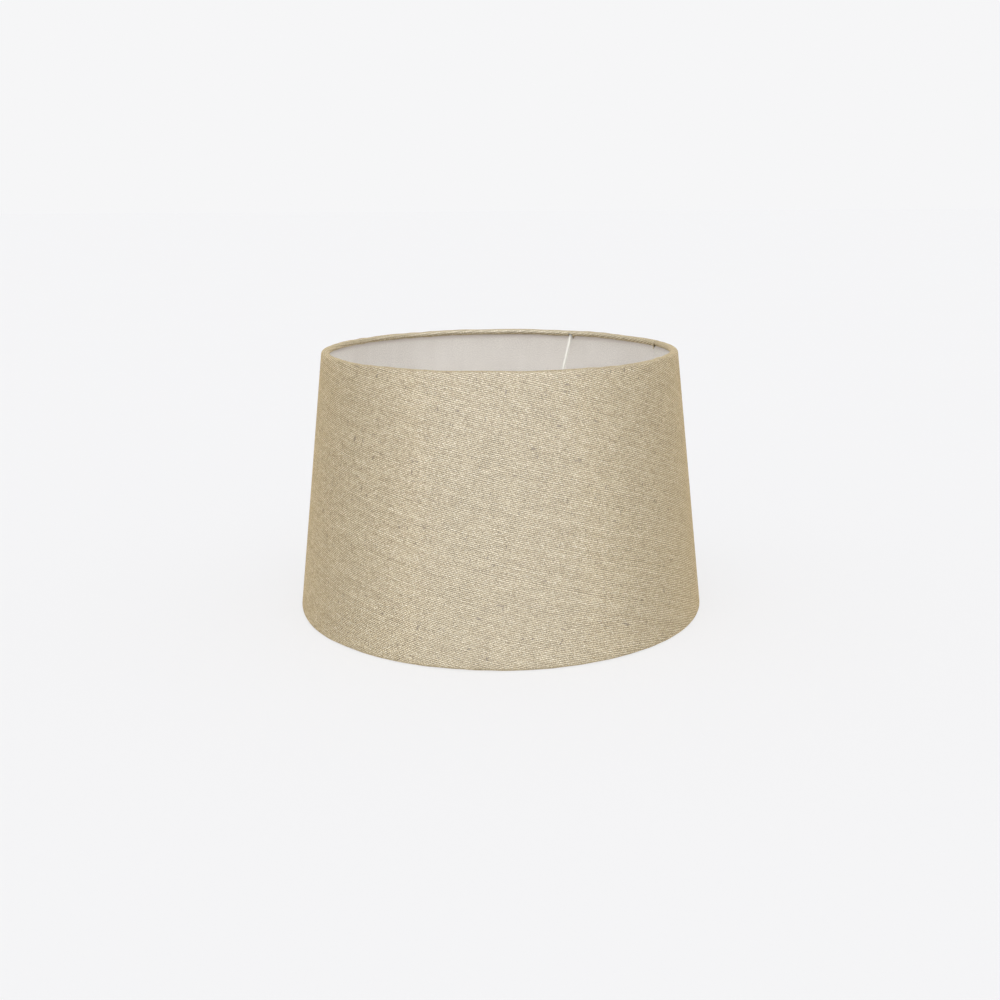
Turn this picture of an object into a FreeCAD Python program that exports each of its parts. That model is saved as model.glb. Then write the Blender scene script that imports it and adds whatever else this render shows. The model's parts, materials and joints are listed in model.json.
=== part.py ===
"""Tapered lamp shade of linen on a stiff liner, with rolled hems on a wire frame.

Millimetres and degrees. +Z is up and the origin is the centre of the bottom edge. The front is
-Y. Azimuths are measured anticlockwise from +X, seen from above. Every piece of the real shade
is a solid of its own. The wall is drawn as one radial section in the XZ plane and turned about Z.
"""
import FreeCAD, Part
import math
import os

from FreeCAD import Vector

# Driving dimensions of the whole shade.
BOTTOM_DIAMETER = 350.0  # over the bottom hem
TOP_DIAMETER = 299.0  # over the top hem
HEIGHT = 221.0  # over both hems

# Stock that the shade is made from.
RING_WIRE = 3.0  # diameter of the two rings' wire
ARM_WIRE = 2.8  # diameter of the arms' wire
LINEN = 0.6  # thickness of the cloth
LINER = 0.4  # thickness of the stiff lining
RING_TAPE = 0.15  # thickness of the double-sided tape between each ring and the liner
RING_TAPE_WIDTH = 2.0
SEAM_TAPE = 0.1  # thickness of the double-sided tape in the lap
FITTER_PLATE = 1.2  # sheet steel of the fitter ring
FITTER_EDGE_RADIUS = 0.3  # rounding of its pressed edges

# Vertical lap of the panel. The outer layer comes from larger azimuths and ends on the inner one.
SEAM_AZIMUTH = 22.3  # free edge of the inner layer
LAP_ANGLE = 4.0  # width of the lap, about 12 mm at the bottom
RAMP_ANGLE = 3.0  # stretch over which the outer layer climbs onto the inner one
NOTCH_ANGLE = 0.3  # gap in the hem where the lap ends
SEAM_TAPE_INSET = 5.0  # the tape stops this far short of both rings

# Frame arms and fitter ring.
ARM_COUNT = 3
FIRST_ARM_AZIMUTH = 62.2
ELBOW_RADIUS = 46.0  # where the sloping and the level run of an arm would meet
ARM_BEND_RADIUS = 10.0
ARM_END_RADIUS = 30.8  # inner end of an arm, on the fitter's flange
ARM_WELD_SINK = 0.3  # how far an arm is pressed into the flange
HEM_SLIT_CLEARANCE = 0.4  # room for an arm in the hem, all round
HEM_SLIT_DEPTH = 7.0  # how far the slit reaches from the ring's wire
FLANGE_UNDERSIDE = 38.0  # height of the fitter's flange
SEAT_RISE = 3.0  # how far the fitter's seat stands above the flange
FITTER_BORE_RADIUS = 21.0  # takes an E27 lamp holder
SEAT_RADIUS = 27.5
FLANGE_INNER_RADIUS = 29.5
FITTER_RADIUS = 35.0

# Values that follow from the stock. Distances "out" are measured at right angles to the wall,
# from the line that joins the centres of the two rolled hems.
TAPED_WIRE_RADIUS = RING_WIRE / 2 + RING_TAPE
HEM_INNER_RADIUS = TAPED_WIRE_RADIUS + LINER / 2
HEM_RADIUS = HEM_INNER_RADIUS + LINEN
LINEN_FACE = HEM_INNER_RADIUS  # the linen's back, on the liner
LINER_FACE = HEM_INNER_RADIUS - LINER  # the liner's inner face, on the ring's tape
WIRE_CENTRE = LINER_FACE - TAPED_WIRE_RADIUS
LAP_OFFSET = LINEN + LINER + SEAM_TAPE
LAP_END = SEAM_AZIMUTH - LAP_ANGLE
HEM_END_GAP = 0.05  # between the tucked edge of the hem and the liner

# The wall's slope in the section plane.
BOTTOM_ROLL_RADIUS = BOTTOM_DIAMETER / 2 - HEM_RADIUS
TOP_ROLL_RADIUS = TOP_DIAMETER / 2 - HEM_RADIUS
ROLL_RISE = HEIGHT - 2 * HEM_RADIUS
WALL_LENGTH = math.hypot(BOTTOM_ROLL_RADIUS - TOP_ROLL_RADIUS, ROLL_RISE)
UP = Vector((TOP_ROLL_RADIUS - BOTTOM_ROLL_RADIUS) / WALL_LENGTH, 0, ROLL_RISE / WALL_LENGTH)
OUT = Vector(UP.z, 0, -UP.x)
AXIS_FOOT = Vector(0, 0, 0)
AXIS = Vector(0, 0, 1)


def wall_point(along, out):
    """A point of the radial section, from its distances along and out of the wall."""
    foot = Vector(BOTTOM_ROLL_RADIUS, 0, HEM_RADIUS)
    return foot + UP * along + OUT * out


def hem_point(end, radius, turn):
    """A point round a hem's roll: end is 1 at the top and -1 at the bottom."""
    along = WALL_LENGTH if end > 0 else 0.0
    angle = math.radians(turn)
    return wall_point(along + end * radius * math.sin(angle), radius * math.cos(angle))


def arc(start, middle, finish):
    return Part.Arc(start, middle, finish).toShape()


def line(start, finish):
    return Part.LineSegment(start, finish).toShape()


def turned(shape, azimuth):
    """A copy of a shape of the section plane, turned to an azimuth."""
    copy = shape.copy()
    copy.rotate(AXIS_FOOT, AXIS, azimuth)
    return copy


def sector(section, start, finish):
    """A section revolved about the shade's axis from one azimuth to another."""
    return turned(Part.Face(section), start).revolve(AXIS_FOOT, AXIS, finish - start)


def ramp(section, lapped_section):
    """The stretch on which a layer climbs from its usual place onto the lap."""
    foot = turned(section, SEAM_AZIMUTH + RAMP_ANGLE)
    head = turned(lapped_section, SEAM_AZIMUTH)
    return Part.makeLoft([foot, head], True, True)


def joined(pieces):
    """Pieces that meet face to face, made into one solid."""
    whole = pieces[0].multiFuse(pieces[1:]).removeSplitter()
    return whole.Solids[0] if len(whole.Solids) == 1 else whole


def strip_section(inner, outer, foot=0.0, top=WALL_LENGTH):
    """A plain flat layer of the wall, between two distances out and two along."""
    corners = [
        wall_point(foot, inner),
        wall_point(foot, outer),
        wall_point(top, outer),
        wall_point(top, inner),
    ]
    return Part.makePolygon(corners + corners[:1])


def hem_side(end, radius, stretch):
    """One face of a rolled hem, from the wall round the ring to its tucked edge."""
    corner = hem_point(end, radius, 45)
    shoulder = corner + OUT * (stretch * math.cos(math.radians(45)))
    wall_end = hem_point(end, radius, 0) + OUT * stretch
    crown = hem_point(end, radius, 90)
    tuck = 360 - math.degrees(math.acos((LINER_FACE - HEM_END_GAP) / radius))
    tucked_edge = hem_point(end, radius, tuck)
    inner_side = hem_point(end, radius, (90 + tuck) / 2)
    return [arc(wall_end, shoulder, crown), arc(crown, inner_side, tucked_edge)]


def linen_section(stretch=0.0):
    """The cloth's section: the wall and both hems, pushed out by the stretch at the lap."""
    front = LINEN_FACE + LINEN + stretch
    back = LINEN_FACE + stretch
    edges = [line(wall_point(0, front), wall_point(WALL_LENGTH, front))]
    edges += [line(wall_point(0, back), wall_point(WALL_LENGTH, back))]
    for end in (1, -1):
        outer = hem_side(end, HEM_RADIUS, stretch)
        inner = hem_side(end, HEM_INNER_RADIUS, stretch)
        outer_edge = outer[-1].Vertexes[-1].Point
        inner_edge = inner[-1].Vertexes[-1].Point
        edges += outer + inner + [line(outer_edge, inner_edge)]
    return Part.Wire(Part.__sortEdges__(edges))


def ring_centre(end):
    """Centre of a ring's wire in the section plane."""
    return wall_point(WALL_LENGTH if end > 0 else 0.0, WIRE_CENTRE)


def wire_ring(end):
    centre = ring_centre(end)
    return Part.makeTorus(centre.x, RING_WIRE / 2, Vector(0, 0, centre.z), AXIS)


def ring_tape(end):
    """Flat strip of tape between a ring and the liner, open where the liner leaves the ring."""
    middle = WALL_LENGTH if end > 0 else 0.0
    foot = middle - RING_TAPE_WIDTH / 2
    section = strip_section(LINER_FACE - RING_TAPE, LINER_FACE, foot, foot + RING_TAPE_WIDTH)
    return sector(section, SEAM_AZIMUTH + RAMP_ANGLE - 360, SEAM_AZIMUTH)


def arm_line():
    """The top end of an arm's sloping run, and the elbow that it points at."""
    level = FLANGE_UNDERSIDE + FITTER_PLATE + ARM_WIRE / 2 - ARM_WELD_SINK
    return ring_centre(1), Vector(ELBOW_RADIUS, 0, level)


def arm_blank():
    """An arm before its end is coped, in the XZ plane: sloping run, bend and level run."""
    head, elbow = arm_line()
    slope = (head - elbow).normalize()
    turn = math.acos(slope.x)
    tangent = ARM_BEND_RADIUS * math.tan(turn / 2)
    bend_top = elbow + slope * tangent
    bend_foot = elbow - Vector(tangent, 0, 0)
    bend_centre = bend_foot + Vector(0, 0, ARM_BEND_RADIUS)
    bend_middle = bend_centre + (elbow - bend_centre).normalize() * ARM_BEND_RADIUS
    inner_end = Vector(ARM_END_RADIUS, 0, elbow.z)
    bend = arc(bend_top, bend_middle, bend_foot)
    path = Part.Wire([line(head, bend_top), bend, line(bend_foot, inner_end)])
    section = Part.Wire(Part.Circle(head, slope, ARM_WIRE / 2).toShape())
    return path.makePipeShell([section], True, False)


def hem_slit():
    """The room that an arm needs where it leaves the ring through the hem."""
    head, elbow = arm_line()
    return Part.makeCylinder(ARM_WIRE / 2 + HEM_SLIT_CLEARANCE, HEM_SLIT_DEPTH, head, elbow - head)


def arm_azimuths():
    return [FIRST_ARM_AZIMUTH + 360.0 / ARM_COUNT * index for index in range(ARM_COUNT)]


def fitter_ring():
    """Pressed steel ring: a raised seat for the lamp holder and a flange for the arms."""
    flange_top = FLANGE_UNDERSIDE + FITTER_PLATE
    seat_underside = FLANGE_UNDERSIDE + SEAT_RISE
    seat_top = seat_underside + FITTER_PLATE
    outline = [
        Vector(FITTER_BORE_RADIUS, 0, seat_underside),
        Vector(SEAT_RADIUS - FITTER_PLATE / 3, 0, seat_underside),
        Vector(FLANGE_INNER_RADIUS - FITTER_PLATE / 3, 0, FLANGE_UNDERSIDE),
        Vector(FITTER_RADIUS, 0, FLANGE_UNDERSIDE),
        Vector(FITTER_RADIUS, 0, flange_top),
        Vector(FLANGE_INNER_RADIUS + FITTER_PLATE / 3, 0, flange_top),
        Vector(SEAT_RADIUS + FITTER_PLATE / 3, 0, seat_top),
        Vector(FITTER_BORE_RADIUS, 0, seat_top),
    ]
    ring = sector(Part.makePolygon(outline + outline[:1]), 0, 360)
    edges = [edge for edge in ring.Edges if isinstance(edge.Curve, Part.Circle)]
    return ring.makeFillet(FITTER_EDGE_RADIUS, edges)


def liner_panel():
    """Stiff lining, rolled into a cone and lapped at the seam."""
    flat = strip_section(LINER_FACE, LINEN_FACE)
    lapped = strip_section(LINER_FACE + LAP_OFFSET, LINEN_FACE + LAP_OFFSET)
    return joined([
        sector(flat, SEAM_AZIMUTH + RAMP_ANGLE - 360, SEAM_AZIMUTH),
        ramp(flat, lapped),
        sector(lapped, LAP_END + NOTCH_ANGLE, SEAM_AZIMUTH),
    ])


def linen_cover(slits):
    """Linen laminated on the liner, rolled round both rings and slit at the arms.

    The inner layer of the lap has no hems, because they are trimmed to keep the seam thin.
    """
    hemmed = linen_section()
    lapped = linen_section(LAP_OFFSET)
    inner_layer = strip_section(LINEN_FACE, LINEN_FACE + LINEN)
    cloth = joined([
        sector(hemmed, SEAM_AZIMUTH + RAMP_ANGLE - 360, LAP_END),
        sector(inner_layer, LAP_END, SEAM_AZIMUTH),
        ramp(hemmed, lapped),
        sector(lapped, LAP_END + NOTCH_ANGLE, SEAM_AZIMUTH),
    ])
    return cloth.cut(slits)


def seam_tape():
    """Double-sided tape between the two layers of the lap."""
    inner = LINEN_FACE + LINEN
    section = strip_section(inner, inner + SEAM_TAPE, SEAM_TAPE_INSET, WALL_LENGTH - SEAM_TAPE_INSET)
    return sector(section, LAP_END + NOTCH_ANGLE, SEAM_AZIMUTH)


def shade():
    """Every piece of the shade by name."""
    top_ring = wire_ring(1)
    fitter = fitter_ring()
    blanks = [turned(arm_blank(), azimuth) for azimuth in arm_azimuths()]
    slits = [turned(hem_slit(), azimuth) for azimuth in arm_azimuths()]
    pieces = {
        "top_ring": top_ring,
        "bottom_ring": wire_ring(-1),
        "fitter_ring": fitter,
        "liner_panel": liner_panel(),
        "linen_cover": linen_cover(slits),
        "seam_tape": seam_tape(),
        "top_ring_tape": ring_tape(1),
        "bottom_ring_tape": ring_tape(-1),
    }
    for number, blank in enumerate(blanks, start=1):
        pieces[f"frame_arm_{number}"] = blank.cut([top_ring, fitter])
    return pieces


def main():
    os.makedirs("parts", exist_ok=True)
    for name, shape in shade().items():
        box = shape.BoundBox
        print(
            f"{name}: solids {len(shape.Solids)}, valid {shape.isValid()}, volume {shape.Volume:.0f} mm3, "
            f"z {box.ZMin:.2f} to {box.ZMax:.2f}, x {box.XMin:.2f} to {box.XMax:.2f}"
        )
        shape.exportStep(f"parts/{name}.step")


main()
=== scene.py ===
"""Looks of a linen lamp shade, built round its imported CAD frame.

Metres, +Z up, front at -Y. Azimuths are in degrees, anticlockwise from +X seen from above. The linen
is one sheet of cloth, laminated on a stiff liner and rolled over two wire rings, so its shape is
worked out from the frame instead of by cloth simulation.
"""
import json
import math

import bpy
import numpy as np
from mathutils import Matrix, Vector


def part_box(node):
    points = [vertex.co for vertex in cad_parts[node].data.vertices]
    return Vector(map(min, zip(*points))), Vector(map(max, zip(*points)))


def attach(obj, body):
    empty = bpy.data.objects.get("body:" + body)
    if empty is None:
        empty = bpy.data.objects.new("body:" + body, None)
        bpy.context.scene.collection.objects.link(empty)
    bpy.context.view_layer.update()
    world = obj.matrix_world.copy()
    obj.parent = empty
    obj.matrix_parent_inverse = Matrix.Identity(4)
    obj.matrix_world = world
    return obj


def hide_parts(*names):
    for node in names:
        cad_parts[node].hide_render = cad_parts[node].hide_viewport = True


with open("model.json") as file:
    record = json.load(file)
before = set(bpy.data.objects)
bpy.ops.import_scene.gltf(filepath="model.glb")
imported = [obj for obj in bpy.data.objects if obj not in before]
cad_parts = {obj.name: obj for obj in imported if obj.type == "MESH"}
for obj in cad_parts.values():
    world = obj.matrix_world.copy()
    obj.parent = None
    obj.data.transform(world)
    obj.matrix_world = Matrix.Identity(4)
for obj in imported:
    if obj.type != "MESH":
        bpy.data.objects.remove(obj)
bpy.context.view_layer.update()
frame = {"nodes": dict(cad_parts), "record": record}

MM = 0.001


# ---------------------------------------------------------------- sizes from the frame

def ring_centre_line(node):
    """Radius and height of a wire ring's centre line, and the radius of its wire."""
    low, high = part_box(node)
    wire = (high.z - low.z) / 2
    return high.x - wire, (high.z + low.z) / 2, wire


LINEN = 0.6 * MM
LINER = 0.4 * MM
RING_TAPE = 0.15 * MM
SEAM_TAPE = 0.1 * MM
TOP_RING, TOP_LEVEL, RING_WIRE = ring_centre_line("top_ring")
BOTTOM_RING, BOTTOM_LEVEL, _ = ring_centre_line("bottom_ring")
_, ARM_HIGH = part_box("frame_arm_1")
ARM_AZIMUTH = math.degrees(math.atan2(ARM_HIGH.y, ARM_HIGH.x))
ARM_WIRE = 1.4 * MM  # radius
ARM_COUNT = 3

# The wall's radial section: distances "along" run up the slope from the bottom ring, and distances
# "out" are at right angles to the wall, from the line that joins the centres of the rolled hems.
TAPED_WIRE = RING_WIRE + RING_TAPE
HEM_INNER = TAPED_WIRE + LINER / 2
HEM = HEM_INNER + LINEN
SLOPE = math.atan2(BOTTOM_RING - TOP_RING, TOP_LEVEL - BOTTOM_LEVEL)
UP = np.array([-math.sin(SLOPE), math.cos(SLOPE)])
OUT = np.array([math.cos(SLOPE), math.sin(SLOPE)])
FOOT = np.array([BOTTOM_RING, BOTTOM_LEVEL]) + OUT * LINER / 2
WALL_LENGTH = math.hypot(BOTTOM_RING - TOP_RING, TOP_LEVEL - BOTTOM_LEVEL)
LINER_FACE = HEM_INNER - LINER
LAP_OFFSET = LINEN + LINER + SEAM_TAPE
HEM_END_GAP = 0.05 * MM
# Degrees round the roll from the wall's outer face to the tucked edge, which meets the liner.
TUCK_TURN = 360 - math.degrees(math.acos((LINER_FACE - HEM_END_GAP) / HEM))

# The vertical lap: the outer layer ends at LAP_END, and the inner one at INNER_END under it.
# From INNER_END to RAMP_END the outer layer comes down to its own place. These four are azimuths.
INNER_END = 22.3
LAP_END = 18.6
RAMP_END = 25.3
FRONT = 270.0
# The lap's folded edge: columns of the mesh that draw it, how deep it sinks and how far it draws back.
FOLD_COLUMNS = 5
FOLD_DEPTH = 0.6 * MM
FOLD_BACK = 0.45 * MM

# The rolled hems. The cloth is gathered on the inside of the rings, and its edges aren't quite true.
HEM_FULLNESS = 2.1 * MM
UNDER_LAP_THIN = 0.50 * MM
ON_LAP_FULL = 0.30 * MM
EDGE_REACH = 40 * MM
FOOT_LIFT = 0.25 * MM
TOP_DIPS = [  # depth, azimuth of the middle and half width in degrees
    (0.55 * MM, 27.0, 18.0),
    (0.30 * MM, 145.0, 25.0),
]
# The tucked cloth at the lap's fold hangs free inside the roll.
TAIL_LENGTH = 5.0 * MM
TAIL_CLEAR = 0.9 * MM

# The slits at the arms, which start at a turn round the top roll. Each has more room on one side of
# its arm, and a small flap that drops along the arm.
SLIT_START = 158.0
SLIT_REACH = 25 * MM
SLIT_FADE = 4.5 * MM
WIDE_ROOM = 0.75 * MM
TIGHT_ROOM = 0.10 * MM
FLAP_LENGTH = 3.2 * MM
FLAP_WIDTH = 2.6 * MM
FLAP_INWARD = 0.42
FLAP_DOWN = 0.9

# The cloth: plain weave, cut from the flat with its grain turned from the shade's front.
THREAD_PITCH = 1.39 * MM
GRAIN_TURN = math.radians(14.0)
APEX_TO_TOP = (FOOT[0] + UP[0] * WALL_LENGTH + OUT[0] * HEM) / math.sin(SLOPE)


# ---------------------------------------------------------------- mesh helpers

def smooth(value, start, finish):
    """0 before start, 1 after finish, and an even curve between them."""
    t = np.clip((value - start) / (finish - start), 0.0, 1.0)
    return t * t * (3 - 2 * t)


def ripple(azimuth, first, last, size, seed):
    """A random wavy line round the shade, made of whole numbers of waves from first to last."""
    random = np.random.default_rng(seed)
    counts = np.unique(np.linspace(first, last, 24).astype(int))
    phases = random.uniform(0, 2 * math.pi, len(counts))
    weights = random.uniform(0.4, 1.0, len(counts))
    weights /= math.sqrt((weights ** 2).sum() / 2)
    angle = np.radians(azimuth)[..., None] * counts + phases
    return size * (np.sin(angle) * weights).sum(-1)


def hump(value, middle, width):
    """A smooth hump of height 1 round a middle value."""
    return np.exp(-((value - middle) / width) ** 2)


def section_to_space(azimuth, along, out, shift=0.0):
    """Points in space from an azimuth, the two distances of the section and a shift round the shade."""
    radius = FOOT[0] + UP[0] * along + OUT[0] * out
    height = FOOT[1] + UP[1] * along + OUT[1] * out
    angle = np.radians(azimuth) + shift / radius
    return np.stack([radius * np.cos(angle), radius * np.sin(angle), height], -1)


def grid_faces(index, breaks=()):
    """Quads between the columns and rows of an index grid, leaving out the gap after each break."""
    columns = [c for c in range(index.shape[0] - 1) if c not in breaks]
    a = index[columns, :-1]
    b = index[[c + 1 for c in columns], :-1]
    c = index[[c + 1 for c in columns], 1:]
    d = index[columns, 1:]
    return np.stack([a, b, c, d], -1).reshape(-1, 4)


def mesh_piece(name, points, faces, uv, material, uv_name, wear=None):
    """A smooth mesh object whose UV map holds sheet coordinates, with a wear-and-highlight value from 0 to
    1 if it is given.
    """
    used, compact = np.unique(faces, return_inverse=True)
    faces = compact.reshape(faces.shape)
    points = points.reshape(-1, 3)[used]
    uv = uv.reshape(-1, 2)[used]
    mesh = bpy.data.meshes.new(name)
    mesh.from_pydata(points.tolist(), [], faces.tolist())
    layer = mesh.uv_layers.new(name=uv_name)
    loops = np.empty(len(mesh.loops), int)
    mesh.loops.foreach_get("vertex_index", loops)
    layer.data.foreach_set("uv", uv[loops].ravel())
    if wear is not None:
        mesh.attributes.new("wear", "FLOAT", "POINT").data.foreach_set("value", wear.ravel()[used])
    mesh.materials.append(material)
    mesh.polygons.foreach_set("use_smooth", np.ones(len(mesh.polygons), bool))
    mesh.update()
    piece = bpy.data.objects.new(name, mesh)
    bpy.context.scene.collection.objects.link(piece)
    return piece


# ---------------------------------------------------------------- node helpers

class Graph:
    """Short calls that build one material's nodes."""

    def __init__(self, name):
        self.material = bpy.data.materials.new(name)
        self.material.use_nodes = True
        self.nodes = self.material.node_tree.nodes
        self.links = self.material.node_tree.links
        self.nodes.clear()

    def add(self, kind, inputs=None, **settings):
        """A node with its settings and its inputs, which are sockets or plain values."""
        node = self.nodes.new(kind)
        for key, value in settings.items():
            setattr(node, key, value)
        for key, value in (inputs or {}).items():
            self.feed(node.inputs[key], value)
        return node

    def feed(self, socket, value):
        if isinstance(value, bpy.types.NodeSocket):
            self.links.new(value, socket)
        else:
            socket.default_value = value

    def math(self, operation, a, b=0.0):
        return self.add("ShaderNodeMath", {0: a, 1: b}, operation=operation).outputs[0]

    def plus(self, a, b):
        return self.math("ADD", a, b)

    def minus(self, a, b):
        return self.math("SUBTRACT", a, b)

    def times(self, a, b):
        return self.math("MULTIPLY", a, b)

    def vector(self, x, y, z=0.0):
        return self.add("ShaderNodeCombineXYZ", {0: x, 1: y, 2: z}).outputs[0]

    def noise(self, vector, scale=1.0, detail=2.0, roughness=0.5):
        inputs = {"Vector": vector, "Scale": scale, "Detail": detail, "Roughness": roughness}
        return self.add("ShaderNodeTexNoise", inputs).outputs["Fac"]

    def scatter(self, value):
        """A random number from 0 to 1 for each whole number."""
        node = self.add("ShaderNodeTexWhiteNoise", {"W": value}, noise_dimensions="1D")
        return node.outputs["Value"]

    def spread(self, value, low, high, start=0.0, finish=1.0):
        """Maps low..high to start..finish smoothly, and clamps outside."""
        inputs = {"Value": value, "From Min": low, "From Max": high, "To Min": start, "To Max": finish}
        return self.add("ShaderNodeMapRange", inputs, interpolation_type="SMOOTHSTEP").outputs[0]

    def ramp(self, value, stops):
        """A colour for each value, from stops of a position and a colour."""
        node = self.add("ShaderNodeValToRGB", {"Fac": value})
        elements = node.color_ramp.elements
        while len(elements) < len(stops):
            elements.new(0.5)
        for element, (position, colour) in zip(elements, stops):
            element.position = position
            element.color = (*colour, 1.0)
        return node.outputs["Color"]

    def blend(self, factor, a, b, kind="MIX"):
        node = self.add("ShaderNodeMix", data_type="RGBA", blend_type=kind)
        self.feed(node.inputs["Factor"], factor)
        for socket, value in ((node.inputs[6], a), (node.inputs[7], b)):
            self.feed(socket, value if isinstance(value, bpy.types.NodeSocket) else (*value, 1.0))
        return node.outputs[2]

    def bump(self, height, distance, strength):
        inputs = {"Height": height, "Distance": distance, "Strength": strength}
        return self.add("ShaderNodeBump", inputs).outputs["Normal"]

    def finish(self, colour, roughness, normal=None, **constants):
        """The material, with a shader whose other sockets are constants named with _ for a space."""
        inputs = {"Base Color": colour, "Roughness": roughness}
        inputs.update({key.replace("_", " "): value for key, value in constants.items()})
        if normal is not None:
            inputs["Normal"] = normal
        shader = self.add("ShaderNodeBsdfPrincipled", inputs)
        output = self.add("ShaderNodeOutputMaterial")
        self.links.new(shader.outputs[0], output.inputs["Surface"])
        return self.material


# ---------------------------------------------------------------- materials

def thread_set(g, across, along, narrow, wide, seed):
    """One set of parallel threads: which thread, where across it, its roundness and its tone."""
    crowd = g.noise(g.vector(g.times(across, 0.31), g.times(along, 0.012), seed), detail=1.0)
    across = g.plus(across, g.times(g.minus(crowd, 0.5), 0.8))
    index = g.math("FLOOR", across)
    middle = g.minus(g.math("FRACT", across), 0.5)
    slub = g.noise(g.vector(g.times(index, 7.13), g.times(along, 0.16), seed + 2.5), detail=2.0)
    half_width = g.spread(slub, 0.30, 0.72, narrow, wide)
    part = g.math("DIVIDE", middle, half_width)
    round_top = g.math("SQRT", g.math("MAXIMUM", g.minus(1.0, g.times(part, part)), 0.0))
    own_tone = g.scatter(g.plus(index, seed * 10))
    run_tone = g.noise(g.vector(g.times(index, 3.77), g.times(along, 0.45), seed + 6.5), detail=2.0)
    fibre_place = g.vector(g.times(across, 1.7), g.times(along, 1.1), seed + 9.5)
    fibres = g.noise(fibre_place, detail=3.0, roughness=0.8)
    tone = g.plus(g.times(own_tone, 0.05), g.plus(g.times(run_tone, 0.08), g.times(fibres, 1.05)))
    return index, middle, round_top, tone


def linen_material():
    """Natural linen in plain weave: uneven round threads that pass over and under each other."""
    g = Graph("linen_weave")
    cloth = g.add("ShaderNodeUVMap", uv_map="cloth").outputs["UV"]
    axes = g.add("ShaderNodeSeparateXYZ", {0: cloth}).outputs
    wander_u = g.times(g.minus(g.noise(cloth, 0.06, 3.0), 0.5), 1.2)
    moved = g.add("ShaderNodeVectorMath", {0: cloth, 1: (37.0, 11.0, 5.0)}, operation="ADD").outputs[0]
    wander_v = g.times(g.minus(g.noise(moved, 0.06, 3.0), 0.5), 1.0)
    u = g.plus(axes[0], wander_u)
    v = g.plus(axes[1], wander_v)
    warp, warp_middle, warp_round, warp_tone = thread_set(g, u, v, narrow=0.27, wide=0.38, seed=1.0)
    weft, weft_middle, weft_round, weft_tone = thread_set(g, v, u, narrow=0.37, wide=0.47, seed=21.0)
    parity = g.math("PINGPONG", g.plus(warp, weft), 1.0)
    side = g.minus(1.0, g.times(parity, 2.0))
    warp_wave = g.times(side, g.math("COSINE", g.times(weft_middle, math.pi)))
    weft_wave = g.times(side, g.math("COSINE", g.times(warp_middle, math.pi)))
    warp_height = g.times(warp_round, g.plus(0.36, g.times(warp_wave, 0.36)))
    weft_height = g.times(weft_round, g.minus(0.78, g.times(weft_wave, 0.22)))
    height = g.math("MAXIMUM", warp_height, weft_height)
    weft_on_top = g.spread(g.minus(weft_height, warp_height), -0.04, 0.04)
    tone = g.plus(g.times(warp_tone, g.minus(1.0, weft_on_top)), g.times(weft_tone, weft_on_top))
    crossing = g.add("ShaderNodeTexWhiteNoise", {"Vector": g.vector(warp, weft)}, noise_dimensions="2D")
    tone = g.plus(tone, g.times(crossing.outputs["Value"], 0.05))
    patches = g.noise(cloth, 0.10, 4.0, 0.7)
    tone = g.plus(tone, g.times(g.minus(patches, 0.5), 0.06))
    hairs = g.noise(cloth, 3.4, 2.0, 0.7)
    tone = g.plus(tone, g.times(hairs, 0.8))
    colour = g.ramp(g.spread(tone, 0.74, 1.34), [
        (0.0, (0.110, 0.082, 0.038)),
        (0.35, (0.440, 0.360, 0.212)),
        (0.65, (0.635, 0.560, 0.402)),
        (1.0, (0.800, 0.750, 0.615)),
    ])
    # Painted shade: the gaps between the threads are darkened as if in shadow, by the weave's height.
    gap_shade = g.ramp(height, [
        (0.22, (0.035, 0.025, 0.014)),
        (0.44, (0.600, 0.540, 0.430)),
        (0.74, (1.0, 1.0, 1.0)),
    ])
    colour = g.blend(1.0, colour, gap_shade, "MULTIPLY")
    husk = g.noise(g.vector(g.times(u, 0.42), g.times(v, 0.16), 3.0), detail=2.0, roughness=0.6)
    cross_husk = g.noise(g.vector(g.times(u, 0.13), g.times(v, 0.40), 8.0), detail=2.0, roughness=0.6)
    flecks = g.math("MAXIMUM", g.spread(husk, 0.66, 0.72), g.spread(cross_husk, 0.67, 0.73))
    colour = g.blend(g.times(flecks, 0.75), colour, (0.085, 0.062, 0.038))
    # The rolled crowns and the lap's fold get a flatter, lighter colour: pressed smooth, and a painted
    # highlight where the folds catch the light.
    wear = g.add("ShaderNodeAttribute", attribute_name="wear").outputs["Fac"]
    colour = g.blend(g.times(wear, 0.8), colour, (0.440, 0.380, 0.255))
    fuzz = g.noise(cloth, 9.0, 2.0, 0.6)
    relief = g.plus(height, g.times(fuzz, 0.12))
    normal = g.bump(relief, 0.25 * MM, g.minus(0.7, g.times(wear, 0.6)))
    roughness = g.spread(height, 0.1, 0.9, 0.80, 0.55)
    sheen = {"Sheen_Weight": 0.26, "Sheen_Roughness": 0.6, "Sheen_Tint": (1.0, 0.66, 0.22, 1.0)}
    return g.finish(colour, roughness, normal, IOR=1.6, **sheen)


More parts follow.
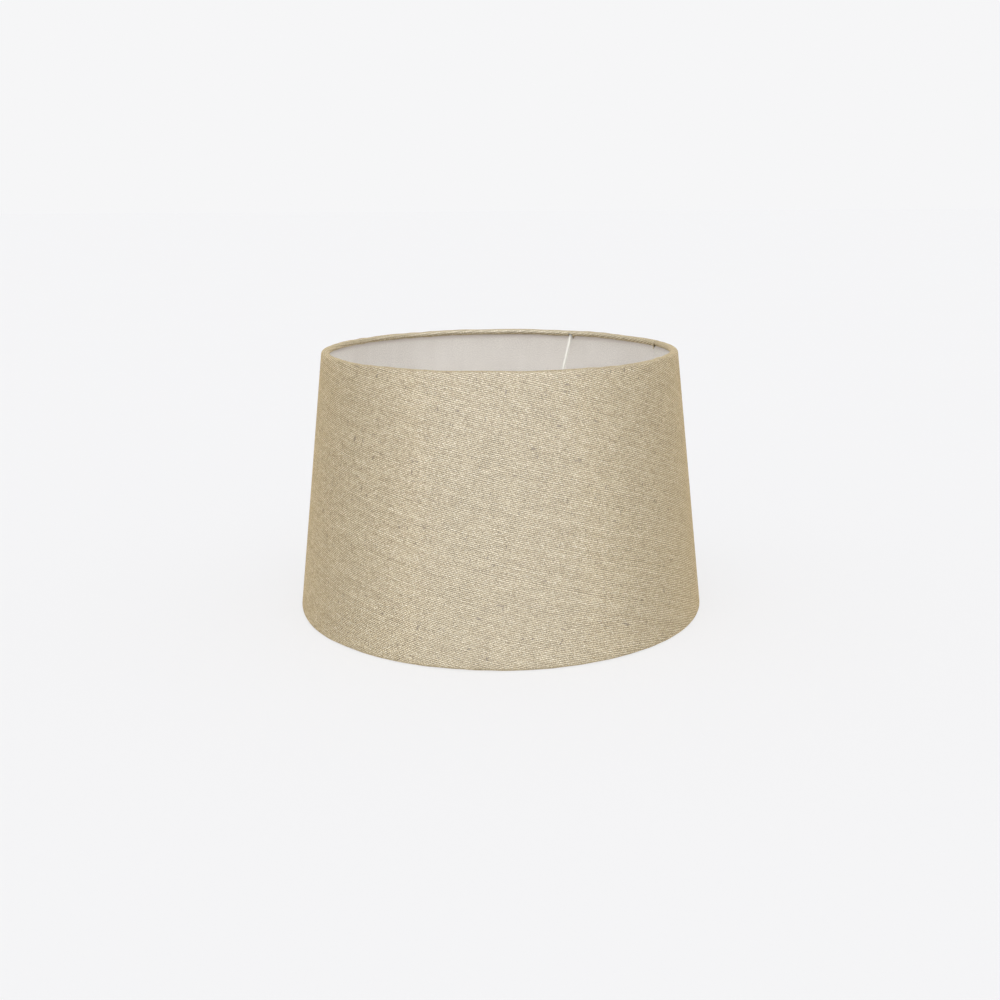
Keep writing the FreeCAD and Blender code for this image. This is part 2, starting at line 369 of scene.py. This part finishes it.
def liner_material():
    """Off-white stiff film with a cloudy texture, and painted shade in a band next to each hem."""
    g = Graph("liner_film")
    place = g.add("ShaderNodeUVMap", uv_map="sheet").outputs["UV"]
    axes = g.add("ShaderNodeSeparateXYZ", {0: place}).outputs
    clouds = g.noise(place, 28.0, 4.0, 0.55)
    streaks = g.noise(g.vector(g.times(axes[0], 90.0), g.times(axes[1], 9.0)), detail=3.0)
    grain = g.noise(place, 900.0, 3.0, 0.75)
    tone = g.plus(g.times(clouds, 0.6), g.times(streaks, 0.4))
    colour = g.ramp(tone, [(0.35, (0.775, 0.738, 0.692)), (0.65, (0.825, 0.790, 0.744))])
    speckle = g.spread(grain, 0.30, 0.70, 0.86, 1.10)
    colour = g.blend(1.0, colour, g.vector(speckle, speckle, speckle), "MULTIPLY")
    # Painted shade: a darker band just below the top hem and just above the bottom hem, where the hems
    # shade the liner.
    from_top = g.spread(axes[1], WALL_LENGTH - 8 * MM, WALL_LENGTH - 2 * MM)
    from_foot = g.spread(axes[1], 8 * MM, 2 * MM)
    hem_shade = g.times(g.math("MAXIMUM", from_top, from_foot), g.spread(clouds, 0.2, 0.8, 0.75, 1.0))
    colour = g.blend(hem_shade, colour, (0.560, 0.500, 0.470))
    normal = g.bump(g.plus(g.times(clouds, 0.8), g.times(grain, 0.05)), 0.25 * MM, 0.5)
    return g.finish(colour, g.spread(clouds, 0.3, 0.7, 0.50, 0.62), normal, IOR=1.5)


def frame_paint_material():
    """White powder coat on steel wire, with orange peel and small dark chips."""
    g = Graph("frame_powder_coat")
    place = g.add("ShaderNodeNewGeometry").outputs["Position"]
    peel = g.noise(place, 2600.0, 2.0, 0.5)
    tone = g.noise(place, 60.0, 3.0, 0.6)
    colour = g.ramp(tone, [(0.30, (0.76, 0.745, 0.680)), (0.70, (0.81, 0.795, 0.735))])
    wear = g.spread(g.noise(place, 420.0, 4.0, 0.65), 0.70, 0.76)
    colour = g.blend(g.times(wear, 0.55), colour, (0.30, 0.28, 0.25))
    normal = g.bump(g.minus(peel, g.times(wear, 0.8)), 0.06 * MM, 0.5)
    roughness = g.spread(tone, 0.3, 0.7, 0.66, 0.78)
    return g.finish(colour, roughness, normal, IOR=1.5)


def tape_material():
    """Thin translucent-looking adhesive tape with fine creases and trapped dust."""
    g = Graph("adhesive_tape")
    place = g.add("ShaderNodeNewGeometry").outputs["Position"]
    creases = g.noise(place, 900.0, 3.0, 0.7)
    dust = g.spread(g.noise(place, 2400.0, 2.0, 0.6), 0.62, 0.74)
    colour = g.ramp(creases, [(0.35, (0.70, 0.66, 0.55)), (0.65, (0.82, 0.79, 0.70))])
    colour = g.blend(g.times(dust, 0.4), colour, (0.40, 0.36, 0.30))
    normal = g.bump(creases, 0.05 * MM, 0.6)
    return g.finish(colour, g.spread(creases, 0.3, 0.7, 0.25, 0.40), normal, IOR=1.47)


# ---------------------------------------------------------------- the linen sheet

def cloth_rows():
    """Rows of the sheet from the top's tucked edge to the bottom's: end, turn round the hem and along."""
    turns = np.concatenate([[0.0], np.linspace(14.0, TUCK_TURN, 25)])
    top = [(1.0, turn, WALL_LENGTH) for turn in turns[::-1]]
    heights = np.linspace(WALL_LENGTH, 0.0, 41)[1:-1]
    wall = [(0.0, 0.0, height) for height in heights]
    bottom = [(-1.0, turn, 0.0) for turn in turns]
    return np.array(top + wall + bottom).T


def cloth_columns():
    """Azimuths of the sheet's columns, and the numbers of the columns where an arm's slit opens.

    A slit has two columns at the arm's azimuth. The first columns draw the folded edge of the lap.
    """
    fold = np.full(FOLD_COLUMNS, LAP_END)
    plain = np.arange(LAP_END + 0.1, 360 + INNER_END - 1.5, 0.4)
    azimuths = np.concatenate([fold, plain])
    slits = []
    for number in range(ARM_COUNT):
        arm = ARM_AZIMUTH + 360.0 / ARM_COUNT * number
        column = int(np.argmin(np.abs(azimuths - arm)))
        azimuths[column] = arm
        azimuths = np.insert(azimuths, column, arm)
        slits = [s + 1 if s > column else s for s in slits] + [column]
    return azimuths, slits


def hem_radius(azimuth, end, turn):
    """Radius of the rolled hem: fuller and uneven where the cloth is gathered on the inside of the ring."""
    rolled = smooth(turn, 20.0, 100.0)
    top_lumps = ripple(azimuth, 14, 60, 0.10 * MM, 3) * rolled
    puckers = ripple(azimuth, 90, 260, 0.07 * MM, 4) * smooth(turn, 60.0, 200.0)
    bottom_lumps = ripple(azimuth, 14, 60, 0.08 * MM, 5) * rolled
    under_lap = smooth(azimuth, 360 + LAP_END - 1.1, 360 + LAP_END - 0.3) * smooth(turn, 10.0, 40.0)
    on_lap = (1 - smooth(azimuth, RAMP_END - 1.5, RAMP_END)) * smooth(turn, 60.0, 120.0) * (end > 0)
    fullness = HEM_FULLNESS * hump(turn, 165.0, 46.0)
    fullness = fullness * (1 - 0.6 * hump(azimuth % 360, LAP_END, 6.0))
    radius = HEM + fullness + np.where(end > 0, top_lumps, bottom_lumps) + puckers
    return radius - under_lap * UNDER_LAP_THIN + on_lap * ON_LAP_FULL


def wall_wave(azimuth):
    """The slow wave of the wall, which the linen and the liner share."""
    return ripple(azimuth, 5, 22, 0.10 * MM, 8)


def fold_of_lap(column):
    """How far the lap's folded edge sinks, and how far it draws back, for the first columns."""
    angle = np.radians(np.interp(column, [0, FOLD_COLUMNS], [-90.0, 90.0]))
    sink = np.where(column < FOLD_COLUMNS, (1 - np.sin(angle)) / 2, 0.0)
    back = np.where(column < FOLD_COLUMNS, 1 - np.cos(angle), 0.0)
    return sink, back


def rolled_section(azimuth, end, turn, height):
    """The cloth's distances out and along, and its shift round the shade, before the slits open."""
    angle = np.radians(turn)
    sink, back = (value[:, None] for value in fold_of_lap(np.arange(len(azimuth))))
    radius = hem_radius(azimuth, end, turn)
    radius = radius - sink * FOLD_DEPTH * smooth(turn, 60.0, 120.0)
    climb = 1 - smooth(azimuth, INNER_END, RAMP_END)
    lap = LAP_OFFSET * climb * np.maximum(np.cos(angle), 0.0) * (turn < 90)
    lap = lap * (1 - sink * 0.9)
    wave = wall_wave(azimuth) * np.sin(np.pi * height / WALL_LENGTH)
    out = radius * np.cos(angle) + lap + np.where(end == 0, wave, 0.0)
    along = height + end * radius * np.sin(angle)
    shift = back * FOLD_BACK + 0.0 * turn
    return out, along, shift


def uneven_edges(azimuth, end, height):
    """How far the top and bottom edges lie above a true circle, fading out away from each edge."""
    near_top = smooth(height, WALL_LENGTH - EDGE_REACH, WALL_LENGTH) * (end >= 0)
    near_foot = (1 - smooth(height, 0.0, EDGE_REACH)) * (end <= 0)
    dips = sum(depth * hump(azimuth % 360, middle, width) for depth, middle, width in TOP_DIPS)
    top = ripple(azimuth, 3, 14, 0.15 * MM, 9) - dips
    foot = ripple(azimuth, 3, 11, 0.20 * MM, 10) + FOOT_LIFT
    return top * near_top + foot * near_foot


def slit_shift(side, turn, along_arm):
    """How the cloth gives way to an arm: its sideways shift, and a small flap that follows the arm."""
    opening = smooth(turn, 160.0, 192.0)
    room = np.where(side > 0, WIDE_ROOM, TIGHT_ROOM) + ARM_WIRE
    distance = np.abs(along_arm)
    shift = side * room * opening * np.exp(-distance / SLIT_FADE)
    flap = np.where(side < 0, 1.0, 0.25) * smooth(turn, 215.0, TUCK_TURN)
    flap = flap * np.clip(1 - distance / FLAP_WIDTH, 0.0, 1.0)
    return shift, flap


def open_slits(azimuths, slits, end, turn):
    """The shift of the cloth round the shade at all the slits, and how far their flaps drop."""
    columns = np.arange(len(azimuths))[:, None]
    shift = 0.0
    drop = 0.0
    for column in slits:
        side = np.where(columns <= column, -1.0, 1.0)
        along_arm = np.radians(azimuths[:, None] - azimuths[column]) * TOP_RING
        near = (np.abs(along_arm) < SLIT_REACH) & (end > 0)
        moved, flap = slit_shift(side, turn, along_arm)
        shift = shift + np.where(near, moved, 0.0)
        drop = drop + np.where(near, flap * FLAP_LENGTH, 0.0)
    return shift, drop


def hang_tail(azimuth, end, turn, height, out, along):
    """Moves the tucked cloth at the lap's fold, which hangs down free inside the roll."""
    tail = (1 - smooth(azimuth, LAP_END + 1.1, LAP_END + 1.6)) * smooth(turn, 150.0, 190.0) * (end > 0)
    hang = height - TAIL_LENGTH * np.clip((turn - 180.0) / (TUCK_TURN - 180.0), 0.0, 1.0)
    out = out + (-HEM - TAIL_CLEAR - out) * tail
    along = along + (hang - along) * tail
    return out, along


def fold_wear_and_highlight(azimuth, end, turn):
    """Where the folded cloth is pressed smooth and painted lighter as a highlight: round both rolled edges
    and down the lap's fold.
    """
    crown = 0.80 * hump(turn, 130.0, 62.0) * (end != 0)
    fold = (1 - smooth(azimuth, LAP_END + 0.9, LAP_END + 1.4)) * smooth(turn, 60.0, 110.0) * (end > 0)
    return np.maximum(crown, fold)


def flat_distance(end, turn, height):
    """Distance down the flat cloth from the top of the wall: less than 0 over the top roll."""
    rolled = HEM * np.radians(turn)
    return np.where(end > 0, -rolled, np.where(end < 0, WALL_LENGTH + rolled, WALL_LENGTH - height))


def weave_coordinates(azimuth, flat_down):
    """Warp and weft thread numbers from the flat pattern, which is a sector of a ring."""
    distance = APEX_TO_TOP + flat_down
    angle = np.radians(azimuth - FRONT) * math.sin(SLOPE)
    across = distance * np.sin(angle)
    down = distance * np.cos(angle) + 0.0 * azimuth
    u = across * math.cos(GRAIN_TURN) + down * math.sin(GRAIN_TURN)
    v = down * math.cos(GRAIN_TURN) - across * math.sin(GRAIN_TURN)
    return np.stack([u, v], -1) / THREAD_PITCH


def linen_sheet(material):
    """The whole cover: outer face, rolled hems, slits at the arms and the lapped seam."""
    azimuths, slits = cloth_columns()
    end, turn, height = cloth_rows()
    azimuth = azimuths[:, None]
    out, along, shift = rolled_section(azimuth, end, turn, height)
    along = along + uneven_edges(azimuth, end, height)
    opening, drop = open_slits(azimuths, slits, end, turn)
    out = out - drop * FLAP_INWARD
    along = along - drop * FLAP_DOWN
    out, along = hang_tail(azimuth, end, turn, height, out, along)
    points = section_to_space(azimuth, along, out, shift + opening)
    points[..., 2] = np.maximum(points[..., 2], 0.0)
    uv = weave_coordinates(azimuth, flat_distance(end, turn, height))
    index = np.arange(points.shape[0] * points.shape[1]).reshape(points.shape[:2])
    closed = ~((end > 0) & (turn > SLIT_START))
    for column in slits:
        index[column + 1, closed] = index[column, closed]
    faces = grid_faces(index, slits)
    return mesh_piece("linen_cloth", points, faces, uv, material, "cloth", fold_wear_and_highlight(azimuth, end, turn))


# ---------------------------------------------------------------- the liner

def liner_sheet(material):
    """The stiff lining's inner face, with its lapped edge, between the two rings."""
    plain = np.arange(INNER_END - 0.5, 360 + INNER_END, 0.5)
    edge = np.full(3, 360 + INNER_END)
    azimuths = np.concatenate([plain, edge])
    azimuth = azimuths[:, None]
    along = np.linspace(-1.0 * MM, WALL_LENGTH + 1.0 * MM, 60)[None, :]
    climb = LAP_OFFSET * (1 - smooth(azimuth, INNER_END, RAMP_END))
    edge_step = np.concatenate([np.zeros(len(plain)), [0.15, 0.6, 1.0]])[:, None] * (LINER + LINEN)
    share = np.clip(along / WALL_LENGTH, 0.0, 1.0)
    bulge = wall_wave(azimuth) + ripple(azimuth, 20, 48, 0.035 * MM, 12)
    out = LINER_FACE + climb + edge_step + bulge * np.sin(np.pi * share)
    points = section_to_space(azimuth, along + 0.0 * azimuth, out)
    uv = np.stack([np.radians(azimuth) * BOTTOM_RING + 0.0 * along, along + 0.0 * azimuth], -1)
    index = np.arange(points.shape[0] * points.shape[1]).reshape(points.shape[:2])
    faces = grid_faces(index)[:, ::-1]
    return mesh_piece("liner_film", points, faces, uv, material, "sheet")


# ---------------------------------------------------------------- studio

def studio():
    """Pale floor and surroundings, a wide front light for gloss only, a soft top light and faint sides."""
    scene = bpy.context.scene
    scene.view_settings.view_transform = "Standard"
    world = bpy.data.worlds.new("studio")
    world.use_nodes = True
    background = world.node_tree.nodes["Background"]
    background.inputs["Color"].default_value = (0.922, 0.922, 0.930, 1.0)
    background.inputs["Strength"].default_value = 1.0
    world.cycles_visibility.glossy = False
    scene.world = world
    studio_floor()
    front = add_sun("front_light", elevation=16.0, azimuth=0.0, strength=18.5, width=130.0)
    front.visible_diffuse = False
    add_sun("top_light", elevation=74.0, azimuth=-4.0, strength=0.55, width=45.0)
    for name, azimuth in (("left_light", -95.0), ("right_light", 95.0)):
        side = add_sun(name, elevation=2.0, azimuth=azimuth, strength=0.30, width=12.0)
        side.visible_glossy = False


def studio_floor():
    """A wide pale floor that glows a little, so that the shade's shadow on it stays faint."""
    g = Graph("studio_floor")
    place = g.add("ShaderNodeNewGeometry").outputs["Position"]
    tone = g.noise(place, 3.0, 2.0)
    colour = g.ramp(tone, [(0.3, (0.249, 0.249, 0.252)), (0.7, (0.251, 0.251, 0.254))])
    material = g.finish(colour, 1.0, IOR=1.0, Emission_Color=(1.0, 1.0, 1.01, 1.0), Emission_Strength=0.64)
    mesh = bpy.data.meshes.new("studio_floor")
    half = 60.0
    corners = [(-half, -half, 0), (half, -half, 0), (half, half, 0), (-half, half, 0)]
    mesh.from_pydata(corners, [], [(0, 1, 2, 3)])
    mesh.materials.append(material)
    floor = bpy.data.objects.new("studio_floor", mesh)
    floor.visible_glossy = False
    bpy.context.scene.collection.objects.link(floor)


def add_sun(name, elevation, azimuth, strength, width):
    """A wide, even light from a direction: degrees above the horizon and to the right of the front."""
    data = bpy.data.lights.new(name, "SUN")
    data.energy = strength
    data.angle = math.radians(width)
    light = bpy.data.objects.new(name, data)
    up, turn = math.radians(elevation), math.radians(azimuth)
    direction = Vector((math.cos(up) * math.sin(turn), -math.cos(up) * math.cos(turn), math.sin(up)))
    light.rotation_euler = direction.to_track_quat("Z", "Y").to_euler()
    bpy.context.scene.collection.objects.link(light)
    return light


def camera():
    """A camera in front of the shade and a little above it."""
    data = bpy.data.cameras.new("camera")
    data.sensor_width = 36.0
    data.lens = 41.33
    view = bpy.data.objects.new("camera", data)
    view.location = (0.001, -0.973, 0.338)
    pitch = math.radians(90.0 - 14.43)
    roll = math.radians(0.30)
    view.rotation_euler = (pitch, roll, 0.0)
    bpy.context.scene.collection.objects.link(view)
    bpy.context.scene.camera = view


# ---------------------------------------------------------------- assembly

def dress_frame(paint, tape):
    """Finishes for the CAD nodes that stay as they are."""
    finishes = {"tape": tape, "frame_paint": paint}
    for part in frame["record"]["subparts"]:
        if part["material_slot"] in finishes:
            node = frame["nodes"][part["node"]]
            node.data.materials.clear()
            node.data.materials.append(finishes[part["material_slot"]])


def build():
    """The soft pieces with what they stand for, the finishes of the CAD nodes, and the studio."""
    linen = linen_sheet(linen_material())
    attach(linen, "root")
    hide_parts("linen_cover")
    liner = liner_sheet(liner_material())
    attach(liner, "root")
    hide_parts("liner_panel")
    dress_frame(frame_paint_material(), tape_material())
    studio()
    camera()


build()
